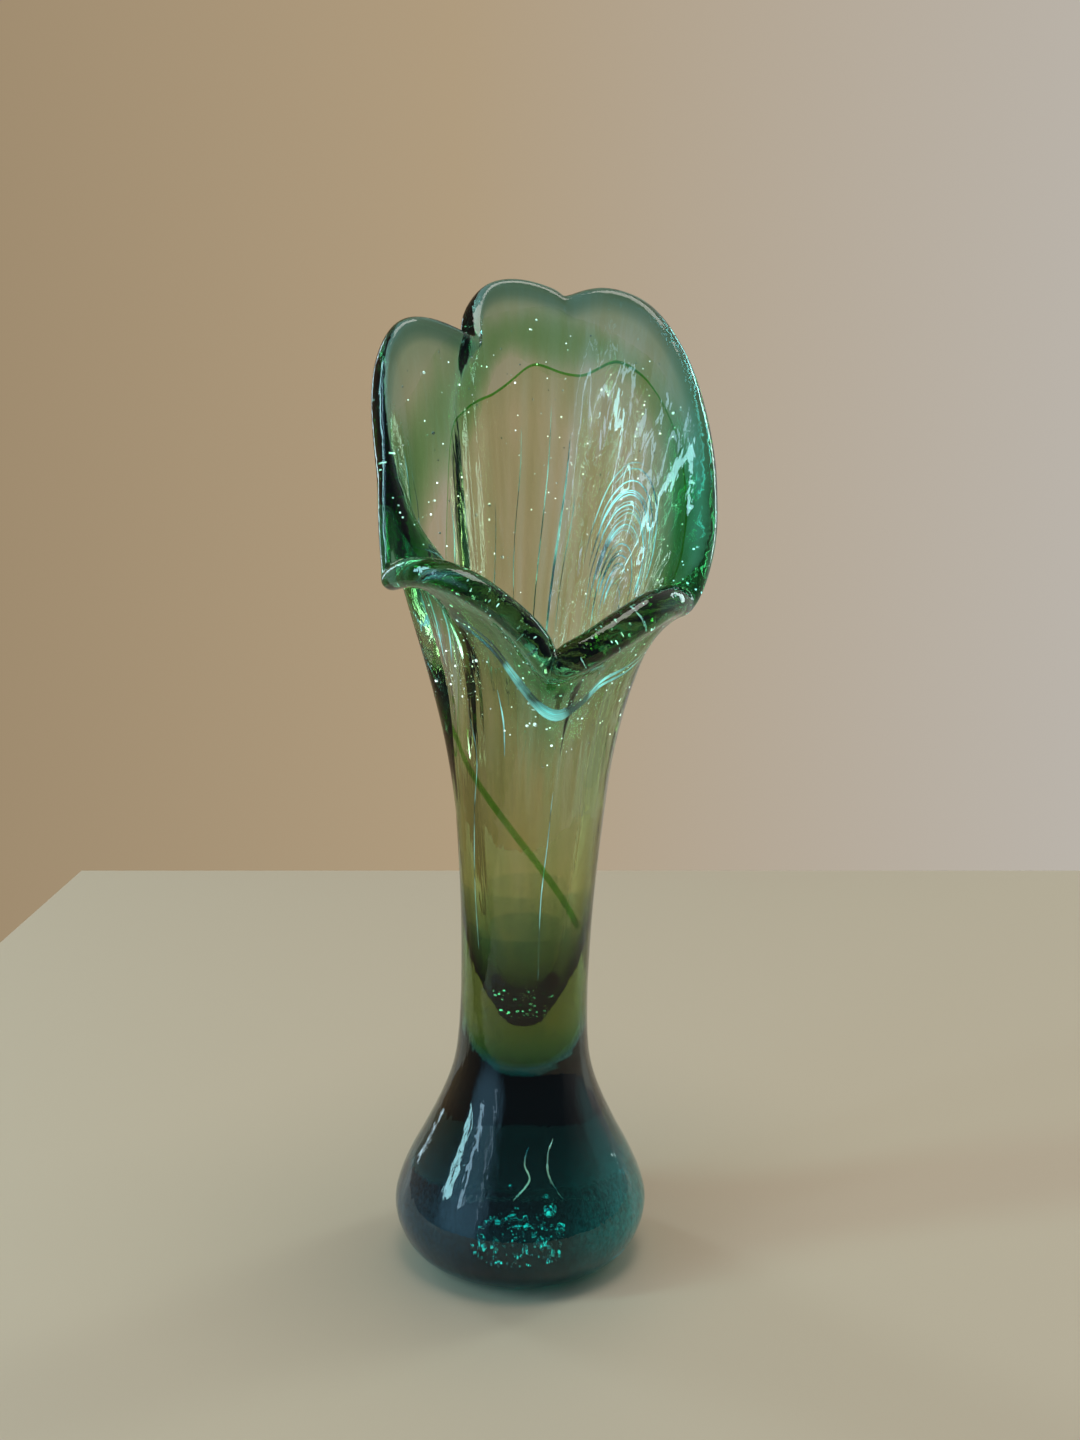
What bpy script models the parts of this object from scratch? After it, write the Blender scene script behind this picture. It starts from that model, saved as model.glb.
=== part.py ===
"""A hand blown, cased glass vase: a round foot, a slim stem and a mouth of five pulled petals.

The glass is layered as the maker gathers it: an inner gather that holds the well, a thin green
overlay with a trailed green cane on it, a teal core that fills the foot, a clear casing over all
of them, and the clear punty glass that closes the casing under the core and is ground flat.

Metres, +Z up. The origin is the centre of the ground flat that the vase stands on. The tall side
of the mouth faces +Y and the low, rolled lip faces -Y.
"""
import math

import bmesh
import bpy
import numpy as np

MM = 0.001

# ---- driving dimensions (millimetres) -------------------------------------------------------
GAP = 0.3                  # play that touching layers keep
FLAT_RADIUS = 27.0         # ground flat that the vase stands on
FOOT_RADIUS = 39.1         # widest place of the foot
STEM_RADIUS = 19.5         # slimmest place of the stem
NECK_HEIGHT = 140.0        # the turned stem ends here and the petals begin
NECK_LEAN = 3.2            # sideways drift of the stem at the neck
LEAN_START = 30.0          # the stem drifts from here up
WELL_TIP_HEIGHT = 74.0     # bottom of the well
CORE_TOP_HEIGHT = 60.0     # top of the dark core, under the gather
CORE_SKIRT_HEIGHT = 104.0  # where the thin skirt of the core around the gather ends
GREEN_WALL = 0.8           # thickness of the green overlay
CANE_RADIUS = 1.1          # trailed green cane
CANE_TOP = 176.0           # height of its upper end
CANE_BOTTOM = 106.5        # height of its lower end
CANE_START = 174.0         # angle of its upper end round the stem, degrees
CANE_SWEEP = 151.0         # how far it turns round the stem, degrees
CANE_POINTS = 36           # points along it
PUNTY_RADIUS = 24.0        # punty glass in the middle of the underside
CASING_FLOOR = 4.0         # clear glass under the core

# Outside of the foot and stem, (radius, height), from the ground flat up to the neck.
OUTSIDE = [(FLAT_RADIUS, 0.0), (31.6, 1.8), (35.7, 5.8), (38.2, 11.0), (FOOT_RADIUS, 17.0),
           (37.8, 23.0), (34.4, 31.0), (29.6, 40.0), (24.8, 50.0), (21.6, 59.0), (20.1, 68.0),
           (STEM_RADIUS, 82.0), (19.7, 98.0), (20.3, 113.0), (21.3, 127.0), (22.4, NECK_HEIGHT)]

# The well, (radius, height), from its tip up to the neck.
WELL = [(0.0, WELL_TIP_HEIGHT), (4.4, 76.2), (7.4, 82.0), (10.0, 91.0), (12.2, 104.0),
        (13.4, 118.0), (15.7, NECK_HEIGHT)]

# Clear casing over the core and the gather, (radius, height): its inside, floor to neck.
CORE_SIDE = [(PUNTY_RADIUS, CASING_FLOOR), (29.6, 6.0), (33.2, 11.5), (34.0, 17.5), (32.8, 23.0),
             (29.5, 31.0), (25.0, 40.0), (20.5, 50.0), (17.6, 59.0), (16.4, 68.0),
             (15.9, 82.0), (16.2, CORE_SKIRT_HEIGHT)]

# Underside of the gather where it sits in the core, (radius, height), from the middle out.
GATHER_SEAT = [(0.0, CORE_TOP_HEIGHT), (6.5, 61.6), (10.8, 66.0), (13.2, 74.0), (14.5, 86.0),
               (15.6, CORE_SKIRT_HEIGHT)]

# Five petals, anticlockwise from above. Each edge runs from its crease to the next petal's
# crease, pulled towards the two points between them. turn is the crease's angle round the neck,
# the two leans tip the wall outwards at the crease and at mid petal (degrees), lip is half the
# wall's thickness at the rim, and green is how far inside the rim the green overlay ends.
PETALS = [
    {"name": "right", "turn": -20, "steps": 10, "leans": (45, 16), "lip": 3.8, "green": 22,
     "crease": (46.0, -9.0, 203.0), "pulls": [(65.0, -2.0, 219.0), (57.0, 44.0, 309.0)]},
    {"name": "back", "turn": 80, "steps": 6, "leans": (-2, -4), "lip": 3.1, "green": 24,
     "crease": (15.0, 42.0, 291.0), "pulls": [(8.0, 46.0, 297.0), (-20.0, 45.0, 305.0)]},
    {"name": "left", "turn": 135, "steps": 8, "leans": (4, -4), "lip": 3.2, "green": 21,
     "crease": (-14.0, 25.0, 277.0), "pulls": [(-56.0, 7.0, 304.0), (-35.0, -2.0, 232.0)]},
    {"name": "front_left", "turn": 212, "steps": 7, "leans": (64, 54), "lip": 3.7, "green": 8,
     "crease": (-35.5, -18.0, 210.5), "pulls": [(-25.0, -36.0, 219.0), (-1.0, -41.0, 208.0)]},
    {"name": "front_right", "turn": 273, "steps": 7, "leans": (40, 66), "lip": 5.2, "green": 7,
     "crease": (9.0, -36.0, 188.0), "pulls": [(21.0, -40.0, 191.0), (42.0, -24.0, 209.0)]},
]
NECK_SLOPE = 0.10          # how fast the wall widens as it leaves the neck
NECK_PULL = 0.42           # how long the wall keeps the neck's direction
RIM_PULL = 0.36            # how long the wall keeps its lean, down from the rim
WALL_STEPS = 8             # steps between the neck and the green overlay's top edge
LIP_STEPS = 4              # steps round the rounded rim
NECK_MIDDLE = (OUTSIDE[-1][0] + WELL[-1][0]) / 2   # radius of the wall's middle at the neck
NECK_HALF = (OUTSIDE[-1][0] - WELL[-1][0]) / 2     # half the wall's thickness there


# ---- the wall above the neck ----------------------------------------------------------------
def cubic(points, share):
    """A cubic curve pulled by its two middle points, at each share from 0 to 1."""
    start, pull_out, pull_in, end = [np.asarray(point, float) for point in points]
    rest = 1.0 - share
    return (rest ** 3 * start + 3 * rest ** 2 * share * pull_out
            + 3 * rest * share ** 2 * pull_in + share ** 3 * end)


def eased(start, middle, end, share):
    """A value that is start and end at the creases and swells to middle at mid petal."""
    edge = start + (end - start) * share
    return edge + (middle - edge) * np.sin(math.pi * share) ** 2


def rim_columns():
    """Rim point, angle at the neck, lean, half thickness and green inset of each column."""
    rim, turn, lean, lip, green = [], [], [], [], []
    for index, petal in enumerate(PETALS):
        before, after = PETALS[index - 1], PETALS[(index + 1) % len(PETALS)]
        share = np.arange(petal["steps"]) / petal["steps"]
        edge = [petal["crease"], *petal["pulls"], after["crease"]]
        rim.append(cubic(edge, share[:, None]))
        turn.append(petal["turn"] + (after["turn"] - petal["turn"]) % 360 * share)
        lean.append(eased(petal["leans"][0], petal["leans"][1], after["leans"][0], share))
        for values, key in ((lip, "lip"), (green, "green")):
            values.append(eased((before[key] + petal[key]) / 2, petal[key],
                                (petal[key] + after[key]) / 2, share))
    return (np.vstack(rim), np.radians(np.concatenate(turn)),
            np.radians(np.concatenate(lean)), np.concatenate(lip), np.concatenate(green))


RIM, TURN, LEAN, LIP, GREEN = rim_columns()
COLUMNS = len(TURN)
OUTWARD = np.stack([np.cos(TURN), np.sin(TURN), np.zeros(COLUMNS)], axis=1)
UPWARD = np.array([0.0, 0.0, 1.0])


def stem_drift(height):
    """How far the stem's axis stands to +X at a height: nothing at the foot, then more."""
    share = np.clip((height - LEAN_START) / (NECK_HEIGHT - LEAN_START), 0.0, None)
    return NECK_LEAN * share ** 1.2


def ring(radius, height):
    """One turned ring of the stem, a point for each column."""
    points = OUTWARD * radius + UPWARD * height
    points[:, 0] += stem_drift(height)
    return points


def green_shares():
    """Share of the way up at which the overlay ends in each column, level below the rim."""
    neck = ring(NECK_MIDDLE, NECK_HEIGHT)
    return 1.0 - GREEN / np.linalg.norm(RIM - neck, axis=1)


def wall_middle(share):
    """Middle of the wall, neck to rim: a cubic curve in each column. share is one per column."""
    neck = ring(NECK_MIDDLE, NECK_HEIGHT)
    reach = np.linalg.norm(RIM - neck, axis=1, keepdims=True)
    tip = np.sin(LEAN)[:, None] * OUTWARD + np.cos(LEAN)[:, None] * UPWARD
    rise = NECK_PULL * reach * (UPWARD + NECK_SLOPE * OUTWARD)
    return cubic([neck, neck + rise, RIM - RIM_PULL * reach * tip, RIM], share[:, None])


def along_wall(share, step=0.02):
    """Direction up the wall in each column."""
    return wall_middle(np.minimum(share + step, 1.0)) - wall_middle(np.maximum(share - step, 0.0))


def wall_facing(share):
    """Direction from the well side to the outside, evened out round the vase along a row."""
    row = wall_middle(share)
    facing = np.cross(np.roll(row, -1, axis=0) - np.roll(row, 1, axis=0), along_wall(share))
    for _ in range(3):
        facing = unit(facing)
        facing = np.roll(facing, 1, axis=0) + 2 * facing + np.roll(facing, -1, axis=0)
    return unit(facing)


def unit(vectors):
    """Vectors at length 1."""
    return vectors / np.linalg.norm(vectors, axis=1, keepdims=True)


def wall_row(share, side, inset=0.0):
    """A row of the wall: side 1 is its outside, 0 its middle, -1 the well side."""
    half = (NECK_HALF + (LIP - NECK_HALF) * share)[:, None]
    return wall_middle(share) + wall_facing(share) * (half * side - inset)


def lip_rows():
    """Rows round the rounded rim, from its outside over to the well side."""
    facing = wall_facing(TO_RIM)
    along = along_wall(TO_RIM)
    along = unit(along - np.sum(along * facing, axis=1, keepdims=True) * facing)
    angles = math.pi * np.arange(1, LIP_STEPS) / LIP_STEPS
    return [RIM + LIP[:, None] * (math.cos(angle) * facing + math.sin(angle) * along)
            for angle in angles]


WALL_REACH = 60.0                      # length of the shortest column of the wall
TO_GREEN = green_shares()              # where the green overlay ends
TO_GATHER = 0.45 + 0.55 * TO_GREEN     # where the inner gather ends, inside the lip
TO_RIM = np.ones(COLUMNS)
CLIMB = [TO_GREEN * (step / WALL_STEPS) for step in range(1, WALL_STEPS + 1)]


# ---- solids ----------------------------------------------------------------------------------
def turned_rows(profile):
    """Rings for a turned outline of (radius, height) points; a radius of 0 gives a pole."""
    return [ring(radius, height) for radius, height in profile]


def lofted_solid(name, rows, poles=False):
    """A closed solid through the rows; with poles its first and last row are single points.

    Without poles the last row joins the first, which makes a ring with a hole through it.
    Every face is split from its lower corner to the next column's upper corner, so that the
    two faces of a joint between layers stay parallel.
    """
    mesh = bpy.data.meshes.new(name)
    model = bmesh.new()
    rings = []
    for index, row in enumerate(rows):
        is_pole = poles and index in (0, len(rows) - 1)
        places = row.mean(axis=0, keepdims=True) if is_pole else row
        rings.append([model.verts.new(place * MM) for place in places])
    pairs = list(zip(rings, rings[1:])) + ([] if poles else [(rings[-1], rings[0])])
    for first, second in pairs:
        rising = second[0].co.z > first[0].co.z
        for here in range(COLUMNS):
            there = (here + 1) % COLUMNS
            a, b = first[here % len(first)], first[there % len(first)]
            c, d = second[there % len(second)], second[here % len(second)]
            halves = [(a, b, c), (a, c, d)] if rising else [(a, b, d), (b, c, d)]
            for half in halves:
                if len(set(half)) == 3:
                    model.faces.new(half)
    model.to_mesh(mesh)
    model.free()
    mesh.shade_smooth()
    return place_in_vase(bpy.data.objects.new(name, mesh))


def turned_solid(name, profile, steps=48):
    """A turned solid: the outline runs down its outer side and is screwed once round Z."""
    mesh = bpy.data.meshes.new(name)
    points = [(radius * MM, 0.0, height * MM) for radius, height in profile]
    mesh.from_pydata(points, [(i, i + 1) for i in range(len(points) - 1)], [])
    solid = place_in_vase(bpy.data.objects.new(name, mesh))
    screw = solid.modifiers.new("turn", "SCREW")
    screw.axis = "Z"
    screw.steps = steps
    screw.render_steps = steps
    screw.use_merge_vertices = True
    screw.merge_threshold = 0.00005
    return solid


def place_in_vase(solid):
    """Put a solid in the vase's collection."""
    bpy.data.collections["glass_vase"].objects.link(solid)
    return solid


def finish(solid, colour, roughness=0.02):
    """Give a solid its own glass."""
    glass = bpy.data.materials.new(solid.name + "_glass")
    glass.use_nodes = True
    shader = glass.node_tree.nodes["Principled BSDF"]
    shader.inputs["Base Color"].default_value = (*colour, 1.0)
    shader.inputs["Metallic"].default_value = 0.0
    shader.inputs["Roughness"].default_value = roughness
    shader.inputs["IOR"].default_value = 1.5
    shader.inputs["Transmission Weight"].default_value = 1.0
    glass.diffuse_color = (*colour, 1.0)
    solid.data.materials.append(glass)


# ---- the pieces ------------------------------------------------------------------------------
def climb(shares, side, inset=0.0):
    """Rows up the wall, one for each set of shares."""
    return [wall_row(share, side, inset) for share in shares]


def joint_profile(inset):
    """Face between the gather and the casing, above the skirt; inset moves it inwards."""
    low = CORE_SIDE[-1][0]
    steps = np.linspace(0.0, 1.0, 4)[1:]
    return [(low + (NECK_MIDDLE - low) * step - inset,
             CORE_SKIRT_HEIGHT + (NECK_HEIGHT - CORE_SKIRT_HEIGHT) * step) for step in steps]


def seat_profile(inset):
    """Outline that sits in the core's cup, inset from the cup all round."""
    return [(max(radius - inset, 0.0), height + inset) for radius, height in GATHER_SEAT]


def clear_casing():
    """Outer gather: foot, stem and the rounded rim, with a hole under the core."""
    outside = turned_rows(OUTSIDE) + climb(CLIMB + [TO_GATHER, TO_RIM], 1)
    lip = lip_rows() + climb([TO_RIM, TO_GATHER], -1)
    inside = turned_rows(CORE_SIDE + joint_profile(0.0)) + climb(CLIMB + [TO_GATHER], 0)
    floor = turned_rows([(PUNTY_RADIUS, 0.0)])
    solid = lofted_solid("clear_casing", outside + lip + inside[::-1] + floor)
    finish(solid, (0.78, 0.92, 0.90))
    return solid


def green_overlay():
    """Thin green layer on the gather; its top edge follows the petals inside the rim."""
    inset = GAP + GREEN_WALL
    outer = turned_rows(seat_profile(GAP) + joint_profile(GAP)) + climb(CLIMB, 0, GAP)
    inner = turned_rows(seat_profile(inset) + joint_profile(inset)) + climb(CLIMB, 0, inset)
    solid = lofted_solid("green_overlay", outer + inner[::-1], poles=True)
    finish(solid, (0.16, 0.42, 0.14))
    return solid


def inner_gather():
    """First gather, blown to make the well; it ends inside the lip."""
    inset = 2 * GAP + GREEN_WALL
    top = TO_GATHER - GAP / WALL_REACH
    outer = (turned_rows(seat_profile(inset) + joint_profile(inset))
             + climb(CLIMB, 0, inset) + climb([top], 0, GAP))
    well = turned_rows(WELL) + climb(CLIMB + [top], -1)
    solid = lofted_solid("inner_gather", outer + well[::-1], poles=True)
    finish(solid, (0.74, 0.86, 0.78))
    return solid


def foot_core():
    """Teal core that fills the foot, with a thin skirt up round the end of the gather."""
    side = [(radius - GAP, height) for radius, height in CORE_SIDE[1:]]
    floor = CASING_FLOOR + GAP
    outline = [(0.0, floor), (PUNTY_RADIUS, floor)] + side + GATHER_SEAT[::-1]
    solid = lofted_solid("foot_core", turned_rows(outline), poles=True)
    finish(solid, (0.02, 0.16, 0.22))
    return solid


def punty_glass():
    """Clear glass left from the punty: it closes the casing and is ground flat."""
    radius = PUNTY_RADIUS - GAP
    profile = [(0.0, CASING_FLOOR), (radius, CASING_FLOOR), (radius, 0.0), (0.0, 0.0)]
    solid = turned_solid("punty_glass", profile)
    finish(solid, (0.70, 0.86, 0.88), roughness=0.05)
    return solid


def joint_place(turn, height):
    """Point of the face between gather and casing, at an angle round the vase and a height."""
    if height <= NECK_HEIGHT:
        share = (height - CORE_SKIRT_HEIGHT) / (NECK_HEIGHT - CORE_SKIRT_HEIGHT)
        radius = CORE_SIDE[-1][0] + (NECK_MIDDLE - CORE_SIDE[-1][0]) * share
        return np.array([radius * math.cos(turn) + stem_drift(height), radius * math.sin(turn),
                         height])
    rows = np.array([wall_middle(TO_RIM * share) for share in np.linspace(0.0, 0.6, 31)])
    level = [[np.interp(height, rows[:, column, 2], rows[:, column, side]) for side in (0, 1)]
             for column in range(COLUMNS)]
    place = [np.interp(turn, TURN, side, period=2 * math.pi) for side in np.transpose(level)]
    return np.array([*place, height])


def cane_places():
    """Middle line of the trailed cane: a falling spiral round the front of the stem."""
    places = []
    for share in np.linspace(0.0, 1.0, CANE_POINTS):
        turn = math.radians(CANE_START + CANE_SWEEP * share)
        height = CANE_TOP + (CANE_BOTTOM - CANE_TOP) * share
        outward = np.array([math.cos(turn), math.sin(turn), 0.0])
        places.append(joint_place(turn, height) + CANE_RADIUS * outward)
    return np.array(places) * MM


def tube(name, places, radius):
    """A round rod along the places, with closed ends, as a mesh."""
    curve = bpy.data.curves.new(name, "CURVE")
    curve.dimensions = "3D"
    curve.bevel_depth = radius * MM
    curve.bevel_resolution = 2
    curve.use_fill_caps = True
    spline = curve.splines.new("POLY")
    spline.points.add(len(places) - 1)
    spline.points.foreach_set("co", np.c_[places, np.ones(len(places))].ravel())
    rod = bpy.data.objects.new(name, curve)
    bpy.context.scene.collection.objects.link(rod)
    evaluated = rod.evaluated_get(bpy.context.evaluated_depsgraph_get())
    mesh = bpy.data.meshes.new_from_object(evaluated)
    bpy.data.objects.remove(rod)
    model = bmesh.new()
    model.from_mesh(mesh)
    bmesh.ops.remove_doubles(model, verts=model.verts, dist=1e-6)
    bmesh.ops.recalc_face_normals(model, faces=model.faces)
    model.to_mesh(mesh)
    model.free()
    mesh.name = name
    return bpy.data.objects.new(name, mesh)


def green_cane(casing):
    """Green cane trailed on the gather, and the groove that it leaves in the casing."""
    places = cane_places()
    cane = place_in_vase(tube("green_cane", places, CANE_RADIUS))
    finish(cane, (0.06, 0.36, 0.08))
    ends = [unit(places[:1] - places[1:2]) * GAP * MM, unit(places[-1:] - places[-2:-1]) * GAP * MM]
    longer = np.vstack([places[:1] + ends[0], places, places[-1:] + ends[1]])
    groove = tube("cane_groove", longer, CANE_RADIUS + GAP)
    bpy.data.collections["cutters"].objects.link(groove)
    groove.hide_render = True
    groove.display_type = "WIRE"
    cut = casing.modifiers.new("cane groove", "BOOLEAN")
    cut.operation = "DIFFERENCE"
    cut.solver = "EXACT"
    cut.object = groove


def main():
    for stale in list(bpy.data.objects):
        bpy.data.objects.remove(stale)
    vase = bpy.data.collections.new("glass_vase")
    bpy.context.scene.collection.children.link(vase)
    cutters = bpy.data.collections.new("cutters")
    bpy.context.scene.collection.children.link(cutters)
    green_cane(clear_casing())
    green_overlay()
    inner_gather()
    foot_core()
    punty_glass()


main()
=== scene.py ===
# %% [markdown]
# # A hand blown, cased glass vase
# The vase is one fused body of glass, made from several gathers. The maker blows an olive-green
# gather, rolls it in moss green, sets a dark teal core under it, cases everything in clear glass
# and then pulls five petals out of the hot mouth. This lesson rebuilds it in the same order: a
# clear body that bends the light, with coloured bodies inside it that take light away. Some of
# the colour is painted light and shade: the core and the bubbles glow, some tints stand in for
# light, and a dark cup round the well is painted shade.
#
# The imported model comes first. It gives the sizes, and nothing below changes it.

# %% Load the frame
import math

import bpy
import numpy as np
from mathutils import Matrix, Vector


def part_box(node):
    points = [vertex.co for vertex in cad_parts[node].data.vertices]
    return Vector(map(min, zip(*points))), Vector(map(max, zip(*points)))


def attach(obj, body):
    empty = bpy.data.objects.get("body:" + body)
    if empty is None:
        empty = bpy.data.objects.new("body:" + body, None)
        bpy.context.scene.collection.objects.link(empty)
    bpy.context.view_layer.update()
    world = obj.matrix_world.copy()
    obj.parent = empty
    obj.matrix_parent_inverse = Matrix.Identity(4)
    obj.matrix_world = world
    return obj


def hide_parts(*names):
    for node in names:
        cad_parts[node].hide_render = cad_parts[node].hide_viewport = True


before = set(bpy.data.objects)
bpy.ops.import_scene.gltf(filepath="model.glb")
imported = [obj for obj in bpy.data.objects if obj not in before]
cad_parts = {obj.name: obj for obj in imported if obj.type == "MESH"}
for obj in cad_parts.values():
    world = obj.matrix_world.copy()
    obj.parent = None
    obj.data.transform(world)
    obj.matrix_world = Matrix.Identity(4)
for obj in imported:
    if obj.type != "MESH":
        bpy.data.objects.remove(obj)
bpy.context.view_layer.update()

MM = 0.001
floor_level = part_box("clear_casing")[0][2]

# %% [markdown]
# ## The outlines of foot and stem
# Foot and stem are round, so two outlines describe them: the outside, and the well that the
# blowing left. A few points fix each outline and a smooth curve runs through them. A Screw
# modifier could turn them, but the petals continue the same surface, so the turning is done in
# numpy and both share one grid.

# %% Outlines, in millimetres (radius, height)
NECK_HEIGHT = 140.0
NECK_LEAN = 3.2            # the stem's axis has drifted this far at the neck
LEAN_START = 30.0
SKIRT_HEIGHT = 104.0       # the core's thin skirt ends here
OUTSIDE = [(0.0, 0.0), (25.0, 0.0), (27.0, 0.12), (31.6, 1.9), (35.7, 5.8), (38.2, 11.0),
           (39.1, 17.0), (37.8, 23.0), (34.4, 31.0), (29.6, 40.0), (24.8, 50.0), (21.6, 59.0),
           (20.1, 68.0), (19.5, 82.0), (19.7, 98.0), (20.3, 113.0), (21.3, 127.0),
           (22.4, NECK_HEIGHT)]
WELL = [(0.0, 77.0), (2.3, 77.8), (4.1, 79.6), (6.9, 84.6), (9.8, 92.6), (12.2, 104.5),
        (13.4, 118.0), (15.7, NECK_HEIGHT)]
CORE_SIDE = [(24.0, 2.6), (31.4, 4.2), (35.2, 10.5), (36.4, 17.3), (35.1, 23.0), (31.6, 31.0),
             (26.8, 40.0), (21.4, 50.0), (17.0, 58.0), (14.4, 65.0), (14.1, 74.0), (14.9, 86.0),
             (15.9, SKIRT_HEIGHT)]
GATHER_SEAT = [(0.0, 60.0), (6.5, 61.6), (10.8, 66.0), (13.2, 74.0), (14.5, 86.0),
               (15.6, SKIRT_HEIGHT)]


def smooth_through(points, count):
    """A curve through the points: between two of them it is a cubic whose slope at each point
    is half the step from the point before to the point after (a Catmull-Rom curve)."""
    knots = np.asarray(points, float)
    padded = np.vstack([2 * knots[0] - knots[1], knots, 2 * knots[-1] - knots[-2]])
    lengths = np.linalg.norm(np.diff(knots, axis=0), axis=1)
    along = np.concatenate([[0.0], np.cumsum(lengths)])
    wanted = np.linspace(0.0, along[-1], count)
    span = np.clip(np.searchsorted(along, wanted, side="right") - 1, 0, len(knots) - 2)
    t = ((wanted - along[span]) / lengths[span])[:, None]
    a, b, c, d = (padded[span + step] for step in range(4))
    return 0.5 * (2 * b + (c - a) * t + (2 * a - 5 * b + 4 * c - d) * t ** 2
                  + (3 * b - a - 3 * c + d) * t ** 3)


def stem_drift(height):
    """Sideways place of the stem's axis: zero at the foot, then a power of the height."""
    share = np.clip((np.asarray(height) - LEAN_START) / (NECK_HEIGHT - LEAN_START), 0.0, None)
    return NECK_LEAN * share ** 1.2


print("outside points:", len(OUTSIDE), "well points:", len(WELL))

# %% [markdown]
# ## Five petals
# The mouth was pulled into five petals while it was soft. Each petal's edge is one cubic curve
# from the crease on its right to the crease on its left, pulled outwards by two points. Between
# the neck and that edge, every upright column of the wall is a cubic too: it leaves the neck
# nearly upright and meets the edge at the petal's own lean. "veil" says how far under the rim a
# haze of moss green lies in the petal, half its width and half its thickness. The overlay's edge
# wanders more freely than the petals do, so its distance from the rim is given by angle.

# %% Petal edges and their columns
PETALS = [
    {"name": "right", "turn": -20, "steps": 72, "leans": (45, 16), "lip": 3.8,
     "veil": (11, 7, 0.8), "crease": (46.0, -9.0, 203.0),
     "pulls": [(65.0, -2.0, 219.0), (57.0, 44.0, 309.0)]},
    {"name": "back", "turn": 80, "steps": 48, "leans": (-2, -4), "lip": 3.1,
     "veil": (10, 8, 0.9), "crease": (15.0, 42.0, 291.0),
     "pulls": [(8.0, 46.0, 297.0), (-20.0, 45.0, 305.0)]},
    {"name": "left", "turn": 135, "steps": 60, "leans": (4, -4), "lip": 3.2,
     "veil": (30, 27, 1.9), "crease": (-14.0, 25.0, 277.0),
     "pulls": [(-56.0, 7.0, 304.0), (-35.0, -2.0, 232.0)]},
    {"name": "front_left", "turn": 212, "steps": 50, "leans": (64, 54), "lip": 4.3,
     "veil": (9, 5, 0.8), "crease": (-35.5, -18.0, 210.5),
     "pulls": [(-25.0, -36.0, 219.0), (-1.0, -41.0, 208.0)]},
    {"name": "front_right", "turn": 273, "steps": 50, "leans": (40, 66), "lip": 5.2,
     "veil": (8, 7, 1.4), "crease": (9.0, -36.0, 188.0),
     "pulls": [(21.0, -40.0, 191.0), (42.0, -24.0, 209.0)]},
]
# (degrees, inset from the rim)
GREEN_EDGE = [(-20, 7), (10, 8), (30, 9), (50, 10.5), (64, 12), (76, 19), (86, 20.5), (98, 18.5),
              (110, 24), (118, 25.5), (130, 24), (143, 24), (147, 32), (151, 47), (157, 68),
              (165, 85), (195, 85), (205, 40), (212, 14), (240, 8), (273, 7.5), (305, 7)]
NECK_SLOPE = 0.10          # how fast the wall widens as it leaves the neck
NECK_PULL = 0.42           # how long it keeps the neck's direction
RIM_PULL = 0.36            # how long it keeps its lean, down from the rim
GREEN_SPREAD = 6           # how far the overlay's edge is evened out
RIM_SPREAD = 2             # how far the rim itself is evened out
CREASE_SPREAD = 700        # how far the creases are evened out below the rim
CREASE_SOFT = [(-20, 0.45, 9), (40, 0.8, 12), (80, 1.0, 16), (135, 1.0, 18), (180, 0.75, 14),
               (212, 0.72, 12), (273, 0.4, 9)]   # (degrees, share evened out, how fast it fades)
NECK_MIDDLE = (OUTSIDE[-1][0] + WELL[-1][0]) / 2
NECK_HALF = (OUTSIDE[-1][0] - WELL[-1][0]) / 2


def cubic(start, pull_out, pull_in, end, share):
    """Bezier cubic: the four points weighted by the terms of (rest + share) cubed."""
    rest = 1.0 - share
    return (rest ** 3 * start + 3 * rest ** 2 * share * pull_out
            + 3 * rest * share ** 2 * pull_in + share ** 3 * end)


def eased(start, middle, end, share):
    """From start to end in a straight line, plus a sine-squared swell to middle half way."""
    edge = start + (end - start) * share
    return edge + (middle - edge) * np.sin(math.pi * share) ** 2


def petal_values(pick):
    """A value of each petal at every column: full at mid petal, shared at the creases."""
    parts = []
    for index, petal in enumerate(PETALS):
        before, after = pick(PETALS[index - 1]), pick(PETALS[(index + 1) % len(PETALS)])
        share = np.arange(petal["steps"]) / petal["steps"]
        here = pick(petal)
        parts.append(eased((before + here) / 2, here, (here + after) / 2, share))
    return np.concatenate(parts)


def rim_columns():
    """Rim point, angle at the neck and lean of each column, petal by petal."""
    rim, turn, lean = [], [], []
    for index, petal in enumerate(PETALS):
        after = PETALS[(index + 1) % len(PETALS)]
        share = np.arange(petal["steps"]) / petal["steps"]
        edge = [np.array(point) for point in (petal["crease"], *petal["pulls"], after["crease"])]
        rim.append(cubic(*edge, share[:, None]))
        turn.append(petal["turn"] + (after["turn"] - petal["turn"]) % 360 * share)
        lean.append(eased(*petal["leans"], after["leans"][0], share))
    return np.concatenate(rim), np.radians(np.concatenate(turn)), np.radians(np.concatenate(lean))


def evened(values, spread):
    """A running average round the vase: each value mixed with its neighbours, spread times."""
    for _ in range(spread):
        values = (np.roll(values, 1, axis=0) + 2 * values + np.roll(values, -1, axis=0)) / 4
    return values


RIM, TURN, LEAN = rim_columns()
RIM = evened(RIM, RIM_SPREAD)
COLUMNS = len(TURN)


def draw_lines(seed, waves, depth):
    """Sum of sine waves round the vase with random phases; higher ones are shallower."""
    random = np.random.default_rng(seed)
    number = random.integers(waves[0], waves[1], size=14)
    phase = random.uniform(0, 2 * math.pi, size=14)
    size = random.uniform(0.3, 1.0, size=14) * waves[0] / number
    lines = np.sin(number[:, None] * TURN + phase[:, None]) * size[:, None]
    return depth * lines.sum(axis=0) / size.sum() * 2


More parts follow.
